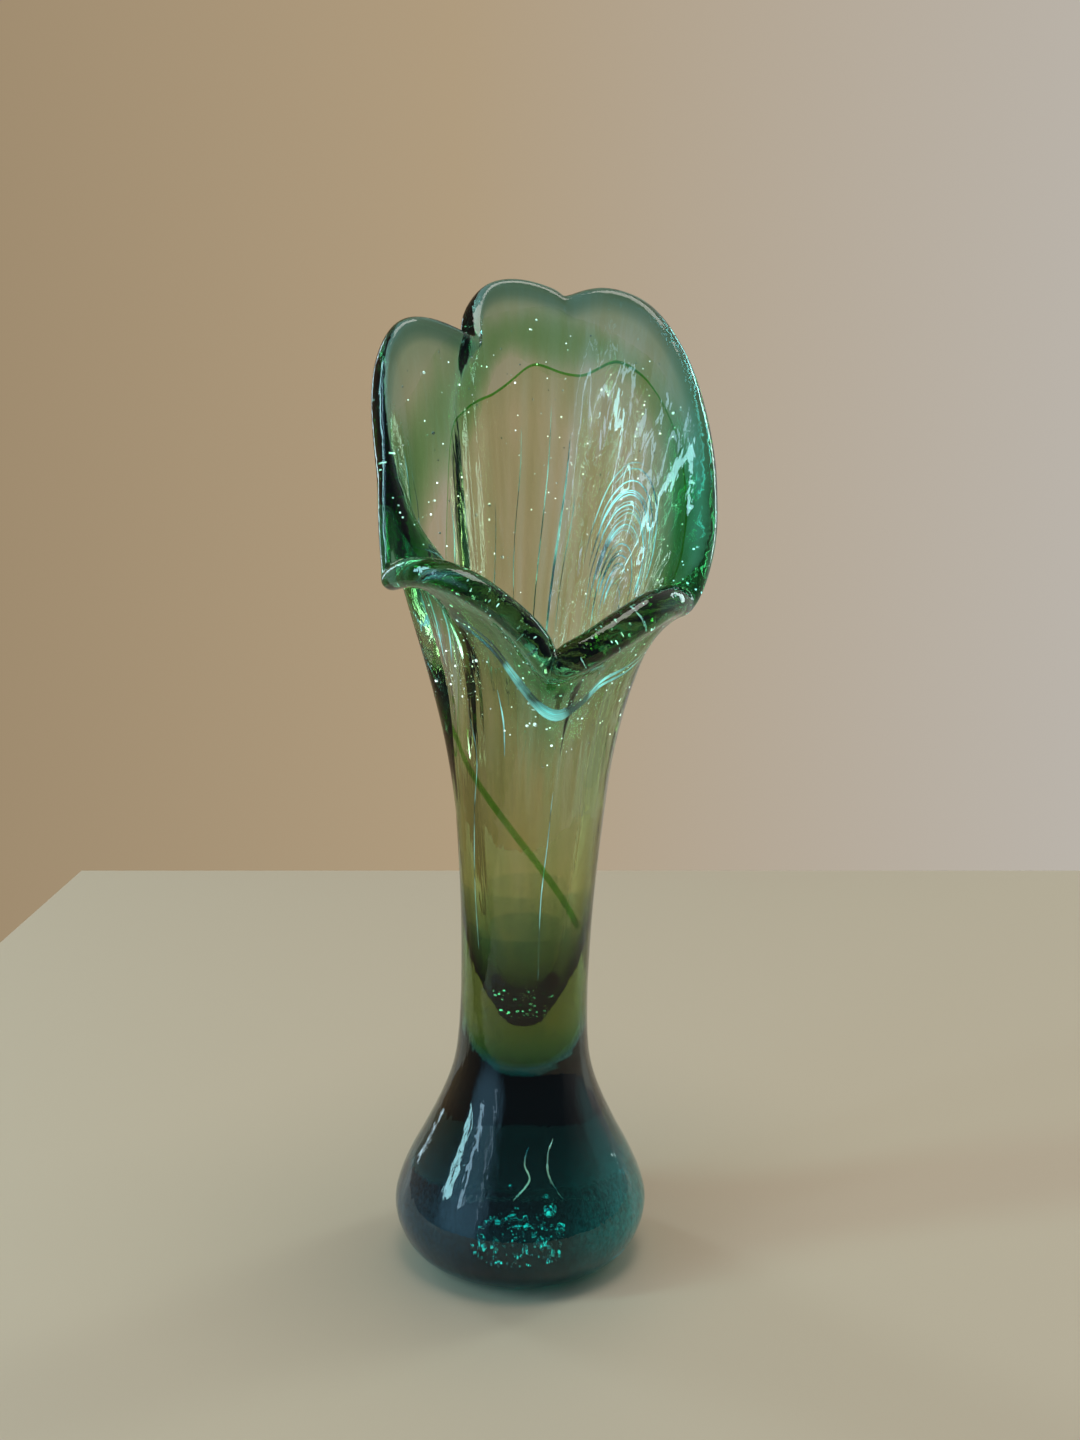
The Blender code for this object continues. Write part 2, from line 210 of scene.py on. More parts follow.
LIP = petal_values(lambda petal: petal["lip"]) + draw_lines(31, (6, 34), 0.22)
GREEN = evened(np.interp(np.degrees(TURN), *np.transpose(GREEN_EDGE), period=360), GREEN_SPREAD)
SOFT, CREASE_FADE = [np.interp(np.degrees(TURN), *np.transpose(CREASE_SOFT)[[0, pick]], period=360)
                     for pick in (1, 2)]
SOFT_RIM = RIM + SOFT[:, None] * (evened(RIM, CREASE_SPREAD) - RIM)
OUTWARD = np.stack([np.cos(TURN), np.sin(TURN), np.zeros(COLUMNS)], axis=1)
UPWARD = np.array([0.0, 0.0, 1.0])
print("columns round the vase:", COLUMNS)

# %% [markdown]
# ## Rows of the wall
# Three things place a point of the wall: how far up its column it is, which side of the wall it
# is on, and how thick the glass is there. The direction across the wall is evened out along each
# row, or the two faces would cross in the sharp creases between the petals.

# %% Rows of the wall above the neck


def unit(vectors):
    """Each vector divided by its length."""
    return vectors / np.linalg.norm(vectors, axis=-1, keepdims=True)


def turned(profile):
    """Rings of a turned outline: radius along each column's direction, plus the drift to +X."""
    radius, height = np.asarray(profile, float).T
    grid = radius[:, None, None] * OUTWARD + height[:, None, None] * UPWARD
    grid[:, :, 0] += stem_drift(height)[:, None]
    return grid


NECK_RING = turned([(NECK_MIDDLE, NECK_HEIGHT)])[0]
REACH = np.linalg.norm(SOFT_RIM - NECK_RING, axis=1, keepdims=True)
TIP = np.sin(LEAN)[:, None] * OUTWARD + np.cos(LEAN)[:, None] * UPWARD


def wall_middle(share):
    """Middle of the wall at each share (rows by columns) of the way from neck to rim: a cubic to
    the evened-out rim, plus what the creases add, which fades as a high power of the share."""
    rise = NECK_PULL * REACH * (UPWARD + NECK_SLOPE * OUTWARD)
    smooth = cubic(NECK_RING, NECK_RING + rise, SOFT_RIM - RIM_PULL * REACH * TIP, SOFT_RIM,
                   share[..., None])
    return smooth + (RIM - SOFT_RIM) * (share ** CREASE_FADE)[..., None]


def along_wall(share, step=0.02):
    """Difference of the middle a little above and a little below: the way up the wall."""
    return wall_middle(np.minimum(share + step, 1.0)) - wall_middle(np.maximum(share - step, 0.0))


def wall_facing(share, spread=15):
    """Cross product of the ways round and up the wall, averaged with its neighbours."""
    row = wall_middle(share)
    facing = np.cross(np.roll(row, -1, axis=-2) - np.roll(row, 1, axis=-2), along_wall(share))
    facing = unit(facing)
    for _ in range(spread):
        facing = unit(np.roll(facing, 2, axis=-2) + 2 * facing + np.roll(facing, -2, axis=-2))
    return facing


def wall(share, side, inset=0.0):
    """Wall points: the middle, moved across the wall by side times half the thickness."""
    half = (NECK_HALF + (LIP - NECK_HALF) * share)[..., None]
    return wall_middle(share) + wall_facing(share) * (half * side - inset)


def wall_at(turn, share, side):
    """Wall points at angles round the neck (degrees) and shares of the way up: a straight mix
    of the two nearest columns."""
    turn, share, side = np.broadcast_arrays(turn, share, side)
    rows = wall(share[:, None] * np.ones(COLUMNS), side[:, None, None] * 1.0)
    place = np.interp((turn + 20) % 360, np.degrees(TURN) + 20, np.arange(COLUMNS))
    low = np.floor(place).astype(int)
    here = np.arange(len(share))
    mix = (place - low)[:, None]
    return rows[here, low] * (1 - mix) + rows[here, (low + 1) % COLUMNS] * mix


def lip(steps):
    """Half circles over the rim, from its outside across the top to the well side."""
    rim = np.ones((1, COLUMNS))
    facing, along = wall_facing(rim)[0], along_wall(rim)[0]
    along = unit(along - np.sum(along * facing, axis=1, keepdims=True) * facing)
    angle = (math.pi * np.arange(1, steps) / steps)[:, None, None]
    return RIM + LIP[:, None] * (np.cos(angle) * facing + np.sin(angle) * along)


TO_GREEN = 1.0 - GREEN / REACH[:, 0]
print("green overlay ends at", np.round(TO_GREEN.min(), 2), "to", np.round(TO_GREEN.max(), 2))

# %% [markdown]
# ## From a grid to a mesh
# Every body of glass is a grid of rows and columns that closes on itself round the vase. Either
# its first and last rows shrink to one point each, or they meet each other, so the body is
# watertight. Glass needs that: light must know when it is inside. The faces are worked out as
# whole arrays as well. A grid can also store named values at its points for the finishes: the
# clear body stores each point's distance from the rim.

# %% Grid to mesh, and the vase's own collection
vase = bpy.data.collections.new("vase")
bpy.context.scene.collection.children.link(vase)


def piece_from(name, points, faces, slot, replaced=(), **values):
    """A smooth mesh object in the vase, with its named values stored at the points."""
    mesh = bpy.data.meshes.new(name)
    mesh.from_pydata(points * MM, [], faces)
    mesh.shade_smooth()
    for key, value in values.items():
        mesh.attributes.new(key, "FLOAT", "POINT").data.foreach_set("value", value)
    piece = bpy.data.objects.new(name, mesh)
    vase.objects.link(piece)
    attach(piece, "root")
    for node in replaced:
        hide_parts(node)
    print(name, "faces:", len(mesh.polygons))
    return piece


def quads_between(rows, columns, first=0):
    """Corner numbers of the faces between neighbouring rows; each row closes on itself."""
    ring = np.arange(columns)
    onward = np.roll(ring, -1)
    start = first + np.arange(rows - 1)[:, None] * columns
    return np.stack([start + ring, start + onward, start + columns + onward,
                     start + columns + ring], axis=-1).reshape(-1, 4)


def closed_body(name, grids, slot, replaced=(), **values):
    """Bodies over grids (rows, columns, xyz) whose first and last rows are single points. Many
    grids of one size make one mesh."""
    grids = grids.reshape(-1, *grids.shape[-3:])
    count, rows, columns = grids.shape[:3]
    ends = grids[:, [0, -1]].mean(axis=2)
    points = np.concatenate([ends[:, :1], grids[:, 1:-1].reshape(count, -1, 3), ends[:, 1:]], axis=1)
    ring = np.arange(columns)
    onward = np.roll(ring, -1)
    last = 1 + (rows - 3) * columns
    start = np.stack([np.zeros(columns, int), onward + 1, ring + 1], axis=-1)
    end = np.stack([last + ring, last + onward, np.full(columns, last + columns)], axis=-1)
    shift = points.shape[1] * np.arange(count)[:, None, None]
    faces = [(corners + shift).reshape(-1, corners.shape[1]).tolist()
             for corners in (start, quads_between(rows - 2, columns, 1), end)]
    return piece_from(name, points.reshape(-1, 3), sum(faces, []), slot, replaced, **values)


def closed_ring(name, grid, slot, replaced=()):
    """A body like a tyre: the last row of its grid joins the first."""
    rows, columns = grid.shape[:2]
    looped = quads_between(rows + 1, columns) % (rows * columns)
    return piece_from(name, grid.reshape(-1, 3), looped.tolist(), slot, replaced)


# %% [markdown]
# ## The clear body
# The clear gathers melt into one another, so the outside, the rounded rim and the well are one
# surface. Its well side carries the upright draw lines that pulling leaves in soft glass: they
# bend what is seen through the wall into streaks. They are waves in the mesh itself, because a
# painted streak would not bend anything.

# %% Clear body with its draw lines
CALM_ZONES = [(150, 22, 0.75), (225, 20, 0.60)]   # (degrees, reach, share taken off the lines)


def swirls(up, middle, reach, count, depth):
    """Rings of a sine round a place (angle, share) of the wall, dying away from it by a bell."""
    turn = (np.degrees(TURN) - middle[0] + 180) % 360 - 180
    far = np.hypot(turn / reach[0], (up - middle[1]) / reach[1])
    return depth * np.sin(2 * math.pi * count * far) * np.exp(-2 * far ** 2)


def clear_grid():
    """Rows up the outside, over the lip and down the well side to its tip."""
    up = np.linspace(0.0, 1.0, 85)[1:, None] * np.ones(COLUMNS)
    fade = np.sin(math.pi * up) ** 0.7
    calm = np.prod([1 - taken * np.exp(-((np.degrees(TURN) - turn) / reach) ** 2)
                    for turn, reach, taken in CALM_ZONES], axis=0)
    well_lines = draw_lines(3, (9, 60), 0.40) * calm * fade
    well_lines = (well_lines + swirls(up, (22, 0.50), (34, 0.42), 4.0, 0.34)
                  + swirls(up, (48, 0.62), (30, 0.36), 3.0, 0.22))
    skin_lines = draw_lines(8, (5, 24), 0.14) * calm * fade
    return np.concatenate([turned(smooth_through(OUTSIDE, 96)), wall(up, 1, -skin_lines[..., None]),
                           lip(13), wall(up, -1, well_lines[..., None])[::-1],
                           turned(smooth_through(WELL, 48))[::-1]])


clear_rows = clear_grid()
rim_gap = np.concatenate([[300.0], np.linalg.norm(clear_rows[1:-1] - RIM, axis=-1).ravel(), [200.0]])
glass_body = closed_body("glass_body", clear_rows, "clear_glass", ["clear_casing", "punty_glass"],
                         rim_gap=rim_gap)

# %% [markdown]
# ## The coloured bodies
# Coloured glass lies inside the clear glass: the olive gather next to the well, the thin moss
# green overlay on it, and the teal core in the foot. They bend light exactly as the clear glass
# does, so their own faces can't be seen, only their colour. Each is a closed body that lies
# wholly inside the clear one.

# %% Olive gather
def joint(inset):
    """Outline of the face between gather and casing, in a straight line from skirt to neck."""
    height = np.linspace(SKIRT_HEIGHT, NECK_HEIGHT, 8)[1:]
    share = (height - SKIRT_HEIGHT) / (NECK_HEIGHT - SKIRT_HEIGHT)
    return list(zip(16.2 + (NECK_MIDDLE - 16.2) * share - inset, height))


def seat(inset):
    """Outline of the seat in the core, drawn inwards and upwards by the inset."""
    return [(max(radius - inset, 0.0), height + inset) for radius, height in GATHER_SEAT]


def cup(outside, inside, top, across):
    """Up the outer outline and the wall, over the top edge, down the wall and the inner one."""
    up = np.linspace(0.0, 1.0, 60)[1:, None] * top
    outer = [turned(smooth_through(outside, 60)), wall(up, *across[0])]
    inner = [turned(smooth_through(inside, 60)), wall(up, *across[1])]
    return np.concatenate(outer + [row[::-1] for row in inner[::-1]])


below_well = [(0.0, 76.2), (2.7, 77.0), (4.8, 79.1), (7.7, 84.3), (10.6, 92.4), (13.0, 104.5),
              (14.2, 118.0), (16.5, NECK_HEIGHT)]
olive_gather = closed_body("olive_gather", cup(seat(1.3) + joint(1.3), below_well, TO_GREEN,
                                               ((0, 1.3), (-1, -0.8))),
                           "gather_glass", ["inner_gather"])

# %% Green overlay
green_layer = closed_body("green_layer", cup(seat(0.3) + joint(0.3), seat(1.1) + joint(1.1),
                                             TO_GREEN, ((0, 0.3), (0, 1.1))),
                          "green_glass", ["green_overlay"])

# %% [markdown]
# ## The overlay's edge and the moss haze
# Where the rolled-on green ends, it gathered into a thin bead that shows as a crisp dark line
# wandering round the petals. Over it, a haze of the same green was smeared towards the rim. The
# bead is a thin tube round the wall. The haze is a ring with a lens-shaped section, because glass
# that thins out to nothing at its edges fades out just like a smear does.

# %% Green bead and moss haze
def ring_section(share, side, inset, along, across):
    """Rings round the vase: each point of a section is moved up and across the wall by it."""
    facing, upward = wall_facing(share[None])[0], unit(along_wall(share[None])[0])
    middle = wall(share[None], side, inset)[0]
    return middle + along[..., None] * upward + across[..., None] * facing


angle = np.linspace(0.0, 2 * math.pi, 11)[:-1, None]
bead_size = 0.42 + 0.16 * draw_lines(21, (2, 9), 1.0)
green_edge = closed_ring("green_edge", ring_section(TO_GREEN, 0, 0.7, bead_size * np.sin(angle),
                                                    bead_size * np.cos(angle)), "green_glass")

VEIL = [petal_values(lambda petal, pick=pick: petal["veil"][pick]) for pick in range(3)]
angle = np.linspace(0.0, 2 * math.pi, 25)[:-1, None]
veil_width = VEIL[1] * (1 + 0.25 * draw_lines(5, (3, 14), 1.0))
veil_depth = VEIL[2] * (1 + 0.4 * draw_lines(11, (4, 30), 1.0))
moss_haze = closed_ring("moss_haze", ring_section(1 - VEIL[0] / REACH[:, 0], 0.35, 0,
                                                  veil_width * np.sin(angle),
                                                  veil_depth * np.cos(angle) ** 3), "green_glass")

# %% [markdown]
# ## The teal core, and a cup of painted shade round the well
# The foot is filled with dark teal glass whose top is hollowed where the gather sat down in it.
# A dark cup round the end of the well is painted shade: it darkens the well's tip and sides,
# which look dark because their faces reflect dark surroundings. Both are turned outlines.

# %% Teal core and the cup of painted shade
core_outline = np.vstack([[(0.0, CORE_SIDE[0][1])], smooth_through(CORE_SIDE, 80),
                          smooth_through(GATHER_SEAT, 50)[::-1]])
teal_core = closed_body("teal_core", turned(core_outline), "core_glass", ["foot_core"])

# The cup is painted shade: very dark glass round the tip and sides of the well, where the well looks dark
# from the dark surroundings its faces reflect.
CUP_INSIDE = [(0.0, 76.6), (2.55, 77.4), (4.45, 79.35), (7.25, 84.5), (10.15, 92.55), (12.5, 104.5),
              (13.65, 117.0)]
CUP_OUTSIDE = [(0.0, 73.8), (2.9, 74.8), (4.4, 76.9), (5.3, 79.2), (7.62, 84.3), (10.44, 92.4),
               (12.66, 104.46), (13.66, 117.1)]
painted_shade_cup = closed_body("painted_shade_cup", turned(np.vstack([smooth_through(CUP_OUTSIDE, 40),
                                                     smooth_through(CUP_INSIDE, 40)[::-1]])),
                       "core_glass")

# %% [markdown]
# ## Bubbles
# Seed bubbles are scattered through the walls, a cluster of bigger ones was trapped over the
# punty, and some were drawn out into threads as the glass was pulled. All round ones are copies
# of one small ball of a few dozen faces, worked out together as one array. The threads run up the
# wall, along the left rim, in nested arches through the right petal, and in a curve under the
# front crease. Two more are in the foot. The threads along the left rim, the arches and the front
# curve are painted highlights, placed where the glass shows window highlights, aqua reflections
# and a lit curve.

# %% Round bubbles
def balls(centres, radii):
    """Ball grids: points at even angles from pole to pole and round the axis."""
    around = np.linspace(0, 2 * math.pi, 9)[:-1]
    rise = np.linspace(-math.pi / 2, math.pi / 2, 7)[:, None]
    ball = np.stack([np.cos(rise) * np.cos(around), np.cos(rise) * np.sin(around),
                     np.sin(rise) * np.ones(8)], axis=-1)
    return centres[:, None, None] + radii[:, None, None, None] * ball


SEEDS = 560
random = np.random.default_rng(12)
seed_places = wall_at(random.uniform(-20, 340, SEEDS),
                      0.97 * random.uniform(0.05, 1.0, SEEDS) ** 0.42,
                      random.uniform(-0.6, 0.7, SEEDS))
seed_sizes = random.uniform(0.14, 0.32, SEEDS) * np.where(random.random(SEEDS) > 0.94, 2.0, 1.0)
seed_bubbles = closed_body("seed_bubbles", balls(seed_places, seed_sizes), "clear_glass")


def heap(count, centre, radius, heights, seed):
    """Random places in a flat round heap, thicker in the middle than at its edge."""
    random = np.random.default_rng(seed)
    reach, turn = radius * np.sqrt(random.random(count)), random.uniform(0, 2 * math.pi, count)
    room = (heights[1] - heights[0]) * (1 - (reach / radius) ** 2)
    rise = heights[0] + room * random.random(count)
    return np.stack([centre[0] + reach * np.cos(turn), centre[1] + reach * np.sin(turn), rise],
                    axis=-1)


CLUSTER = 230
big = np.array([(7.4, -13.0, 17.6), (9.6, -12.0, 12.4), (-2.2, -15.0, 25.6), (4.8, -14.5, 10.2),
                (-9.0, -12.0, 9.4), (6.4, -10.0, 20.0), (1.6, -16.0, 16.8)])
big_sizes = np.array([1.9, 1.2, 0.6, 1.1, 1.2, 0.7, 0.8])
foot_places = np.vstack([heap(CLUSTER, (-0.5, -11.0), 10.8, (8.5, 17.5), 4), big])
foot_sizes = np.append(random.uniform(0.13, 0.34, CLUSTER)
                       * np.where(random.random(CLUSTER) > 0.8, 2.2, 1.0), big_sizes)
foot_bubbles = closed_body("foot_bubbles", balls(foot_places, foot_sizes), "core_glass")

TIP_COUNT = 46
tip_turn = np.radians(random.uniform(215, 325, TIP_COUNT))
tip_height = 78.0 + 10.0 * random.random(TIP_COUNT) ** 1.6
tip_radius = (np.interp(tip_height, *np.transpose(CUP_OUTSIDE)[::-1])
              + random.uniform(0.3, 0.9, TIP_COUNT))
tip_places = np.stack([tip_radius * np.cos(tip_turn) + stem_drift(tip_height),
                       tip_radius * np.sin(tip_turn), tip_height], axis=-1)
tip_bubbles = closed_body("tip_bubbles", balls(tip_places, random.uniform(0.14, 0.42, TIP_COUNT)),
                          "core_glass")


# %% Drawn-out bubbles, some of them painted highlights
THREAD_STEPS = 40


def thread(path, radius):
    """A spindle along a path: rings whose radius swells from a point and back to one."""
    places = smooth_through(path, THREAD_STEPS)
    way = unit(np.gradient(places, axis=0))
    across = unit(np.cross(way, [0.3, 1.0, 0.1]))
    third = np.cross(way, across)
    swell = radius * np.sin(math.pi * np.linspace(0, 1, THREAD_STEPS)) ** 0.5
    turn = np.linspace(0, 2 * math.pi, 9)[:-1]
    ring = np.cos(turn)[:, None] * across[:, None] + np.sin(turn)[:, None] * third[:, None]
    return places[:, None] + swell[:, None, None] * ring


def up_the_wall(turn, shares, side, sway):
    """A nearly upright path in the wall, swaying a few degrees."""
    return wall_at(turn + sway * np.sin(np.arange(7) * 0.9), np.linspace(*shares, 7), side)


def arch(middle, size, span, side):
    """Part of an oval drawn in the wall, round a place given by its angle and share."""
    angle = np.radians(np.linspace(*span, 13))
    return wall_at(middle[0] + size[0] * np.cos(angle), middle[1] + size[1] * np.sin(angle), side)


in_the_foot = [
    ([(2.5, -17, 40), (1.5, -19, 35), (2.6, -20, 30), (-1.6, -21, 24)], 0.26),
    ([(9.0, -16, 42), (7.6, -18, 37), (8.0, -20, 31), (11.6, -20, 24)], 0.28),
]
straight = [
    ([(-14.6, -14, 176), (-11.4, -15.8, 160), (-12.4, -14.2, 142), (-12.6, -12.6, 120),
      (-11.4, -12.2, 100)], 0.14),
    ([(-5.4, -21, 180), (-3.6, -20, 170), (-3.4, -19.0, 160)], 0.22),
    ([(9.6, -19.2, 150), (8.2, -18.6, 135), (6.2, -17.4, 116), (5.4, -16.8, 92)], 0.14),
    (up_the_wall(82, (0.16, 0.74), -0.1, 0.6), 0.40), (up_the_wall(91, (0.05, 0.80), 0.2, 1.2), 0.20),
    (up_the_wall(76, (0.30, 0.62), 0.3, 1.0), 0.22), (up_the_wall(104, (0.30, 0.75), 0.0, 1.6), 0.16),
    (up_the_wall(118, (0.20, 0.60), 0.2, 2.0), 0.16), (up_the_wall(150, (0.30, 0.66), 0.1, 2.0), 0.18),
    (up_the_wall(166, (0.35, 0.80), 0.3, 2.4), 0.14),
]
# Painted highlights: the arches in the right petal, the threads along the left rim and the strands along the
# front curve glow faintly, standing in for the aqua reflections in the right petal, the window highlights on
# the left edge and the lit curve under the front crease.
ARCH_MIDDLE = (34, 0.44)   # (degrees, share) that the arches in the right petal are nested round
ARCH_REACH = np.array([27.0, 0.36])
LEFT_RIM_HIGHLIGHT_TURNS = (172, 180, 187, 194, 201, 207)
FRONT_HIGHLIGHT_CURVE = np.array([(228, 0.82), (246, 0.75), (262, 0.67), (278, 0.61), (294, 0.585),
                        (312, 0.60), (330, 0.64), (344, 0.69)])   # (degrees, share)
FRONT_HIGHLIGHT_STRANDS = [(0, 8, 0.55), (0, 6, 0.62), (1, 7, 0.40), (2, 8, 0.26), (0, 5, 0.46),
                 (1, 6, 0.2)]   # (first point, end, radius) along that curve
random = np.random.default_rng(17)
drawn = []
for size in np.linspace(0.22, 1.0, 30):
    start = random.uniform(-25, 55)
    reach = size * ARCH_REACH * random.uniform(0.92, 1.05)
    drawn.append((arch(ARCH_MIDDLE, reach, (start, start + random.uniform(50, 130)),
                       random.uniform(-0.9, -0.4)), random.uniform(0.08, 0.24)))
for turn in LEFT_RIM_HIGHLIGHT_TURNS:
    shares = (random.uniform(0.35, 0.55), random.uniform(0.85, 0.96))
    drawn.append((up_the_wall(turn, shares, -0.85, 2.0), random.uniform(0.12, 0.26)))
for step, (first, last, radius) in enumerate(FRONT_HIGHLIGHT_STRANDS):
    turn, share = (FRONT_HIGHLIGHT_CURVE + (0.0, 0.013 * step - 0.03))[first:last].T
    drawn.append((wall_at(turn, share, 0.5), radius))
foot_threads = closed_body("foot_threads", np.array([thread(*line) for line in in_the_foot]),
                           "core_glass")
air_threads = closed_body("air_threads", np.array([thread(*line) for line in straight + drawn]),
                          "clear_glass")

# %% [markdown]
# ## Finishes shared by the glasses
# Two effects are node groups. "streaks" gives long upright veins, as a drawn gather has, and
# serves most of the glasses. "handling" gives the soft smudges that fingers and time leave on a
# polished skin, on the clear glass. Both read Object coordinates, so they stay on the glass.

# %% Node groups
def new_group(name, inputs, outputs):
    """An empty shader node group with number inputs and number outputs."""
    group = bpy.data.node_groups.new(name, "ShaderNodeTree")
    for label, value in inputs.items():
        socket = group.interface.new_socket(label, in_out="INPUT", socket_type="NodeSocketFloat")
        socket.default_value = value
    for label in outputs:
        group.interface.new_socket(label, in_out="OUTPUT", socket_type="NodeSocketFloat")
    return group, group.nodes.new("NodeGroupInput"), group.nodes.new("NodeGroupOutput")


def add(tree, kind, wires=None, **settings):
    """A node with plain settings and its inputs wired or set by name or number."""
    node = tree.nodes.new(kind)
    for key, value in settings.items():
        setattr(node, key, value)
    for key, value in (wires or {}).items():
        if isinstance(value, bpy.types.NodeSocket):
            tree.links.new(value, node.inputs[key])
        else:
            node.inputs[key].default_value = value
    return node


def ramp(tree, source, stops):
    """A colour ramp through (place, colour) stops; a number stands for a grey."""
    node = add(tree, "ShaderNodeValToRGB", {0: source})
    elements = node.color_ramp.elements
    for index, (place, colour) in enumerate(stops):
        element = elements[index] if index < 2 else elements.new(place)
        element.position = place
        element.color = (colour, colour, colour, 1) if isinstance(colour, (int, float)) else (*colour, 1)
    return node.outputs["Color"]


WHITE = (1.0, 1.0, 1.0)


def mapped(tree, value, start, end, **settings):
    """The value carried from between start and end to between 0 and 1."""
    return add(tree, "ShaderNodeMapRange", {"Value": value, "From Min": start, "From Max": end},
               **settings).outputs["Result"]


def mixed(tree, share, one, other, blend="MIX"):
    """Two colours mixed or multiplied, by a share."""
    return add(tree, "ShaderNodeMix", {0: share, 6: one, 7: other}, data_type="RGBA",
               blend_type=blend).outputs[2]


def split_place(tree):
    """Object coordinates as separate X, Y and Z."""
    place = add(tree, "ShaderNodeTexCoord").outputs["Object"]
    return add(tree, "ShaderNodeSeparateXYZ", {0: place}).outputs


def streaks_group():
    """Noise on coordinates squeezed upright, bent by a slower noise, then sharpened."""
    group, enter, leave = new_group("streaks", {"Size": 160.0, "Upright": 0.12, "Bend": 0.35},
                                    ["Mask", "Height"])
    place = add(group, "ShaderNodeTexCoord").outputs["Object"]
    squeeze = add(group, "ShaderNodeCombineXYZ", {"X": 1.0, "Y": 1.0, "Z": enter.outputs["Upright"]})
    upright = add(group, "ShaderNodeVectorMath", {0: place, 1: squeeze.outputs[0]},
                  operation="MULTIPLY").outputs[0]
    noise = add(group, "ShaderNodeTexNoise", {"Vector": upright, "Scale": enter.outputs["Size"],
                                              "Detail": 3.0, "Distortion": enter.outputs["Bend"]})
    group.links.new(mapped(group, noise.outputs["Fac"], 0.38, 0.66), leave.inputs["Mask"])
    group.links.new(noise.outputs["Fac"], leave.inputs["Height"])
    return group


def handling_group():
    """Slow noise picks the smudged places, fine noise breaks them up."""
    group, enter, leave = new_group("handling", {"Size": 22.0, "Amount": 1.0}, ["Mask", "Height"])
    place = add(group, "ShaderNodeTexCoord").outputs["Object"]
    patches = add(group, "ShaderNodeTexNoise", {"Vector": place, "Scale": enter.outputs["Size"],
                                                "Detail": 2.0})
    grain = add(group, "ShaderNodeTexNoise", {"Vector": place, "Scale": 900.0, "Detail": 2.0})
    where = mapped(group, patches.outputs["Fac"], 0.52, 0.72)
    broken = add(group, "ShaderNodeMath", {0: where, 1: grain.outputs["Fac"]},
                 operation="MULTIPLY")
    scaled = add(group, "ShaderNodeMath", {0: broken.outputs[0], 1: enter.outputs["Amount"]},
                 operation="MULTIPLY")
    group.links.new(scaled.outputs[0], leave.inputs["Mask"])
    group.links.new(grain.outputs["Fac"], leave.inputs["Height"])
    return group


STREAKS, HANDLING = streaks_group(), handling_group()
print("node groups:", STREAKS.name, HANDLING.name)

# %% [markdown]
# ## The glasses
# Every glass is a Principled shader with full transmission. What a metre of it takes from red,
# green and blue light is set in a volume, so thick places are deeper in colour than thin ones,
# as in real glass. The base colour adds what one volume can't: streaks in the drawn gather and
# deeper rim colour. It also holds painted light: amber low in the gather is a painted view of an
# orange table through the stem, the teal low in the foot stands in for teal room light, and the
# emerald on the far right for light bent out of the right edge. The bubbles glow with painted
# glints, and the core with painted light: a blue sheen on its left and teal light on its right.

# %% Glass maker
def glass(name, absorbs=None, ior=1.5, roughness=0.0, transmission=1.0):
    """Principled glass. absorbs is how much red, green and blue each metre takes away."""
    material = bpy.data.materials.new(name)
    material.use_nodes = True
    tree = material.node_tree
    shader = tree.nodes["Principled BSDF"]
    shader.inputs["Base Color"].default_value = (1, 1, 1, 1)
    shader.inputs["Roughness"].default_value = roughness
    shader.inputs["IOR"].default_value = ior
    shader.inputs["Transmission Weight"].default_value = transmission
    if absorbs:
        volume = tree.nodes.new("ShaderNodeVolumeAbsorption")
        density = max(absorbs) * 1.05
        volume.inputs["Density"].default_value = density
        volume.inputs["Color"].default_value = (*(1 - a / density for a in absorbs), 1.0)
        tree.links.new(volume.outputs["Volume"], tree.nodes["Material Output"].inputs["Volume"])
    return material, tree, shader


def streaked(tree, shader, size, upright, dark, light, over=None):
    """Base colour between two near tints along upright streaks, times a colour over them."""
    veins = add(tree, "ShaderNodeGroup", node_tree=STREAKS)
    veins.inputs["Size"].default_value = size
    veins.inputs["Upright"].default_value = upright
    colour = ramp(tree, veins.outputs["Mask"], [(0.0, dark), (1.0, light)])
    if over is not None:
        colour = mixed(tree, 1.0, colour, over, "MULTIPLY")
    tree.links.new(colour, shader.inputs["Base Color"])
    return veins.outputs


def wear(piece, material):
    """Give a piece one glass, in place of what it had."""
    piece.data.materials.clear()
    piece.data.materials.append(material)


# %% Clear glass
clear, tree, shader = glass("clear glass", (24, 16, 15))
place = split_place(tree)
# Painted light: the clear glass is tinted teal low in the foot, fading to near white by about 70 mm, in
# place of teal room light reaching the foot's lower part.
painted_foot_light = ramp(tree, mapped(tree, place["Z"], 0.0, 0.3),
             [(0.0, (0.50, 0.93, 0.90)), (0.07, (0.60, 0.94, 0.94)), (0.17, (0.84, 0.94, 0.98)),
              (0.24, (0.98, 0.98, 0.96)), (0.5, (0.985, 0.985, 0.97)), (1.0, (0.97, 0.99, 0.985))])
gap = mapped(tree, add(tree, "ShaderNodeAttribute", attribute_name="rim_gap").outputs["Fac"], 0.0, 40.0)
high_rim = ramp(tree, gap, [(0.09, (0.20, 0.44, 0.42)), (0.15, (0.52, 0.75, 0.67)),
                            (0.34, (0.66, 0.82, 0.73)), (1.0, WHITE)])
low_rim = ramp(tree, gap, [(0.0, (0.15, 0.50, 0.45)), (0.34, (0.36, 0.68, 0.58)), (1.0, WHITE)])
rims = mixed(tree, mapped(tree, place["Z"], 0.245, 0.215), high_rim, low_rim)
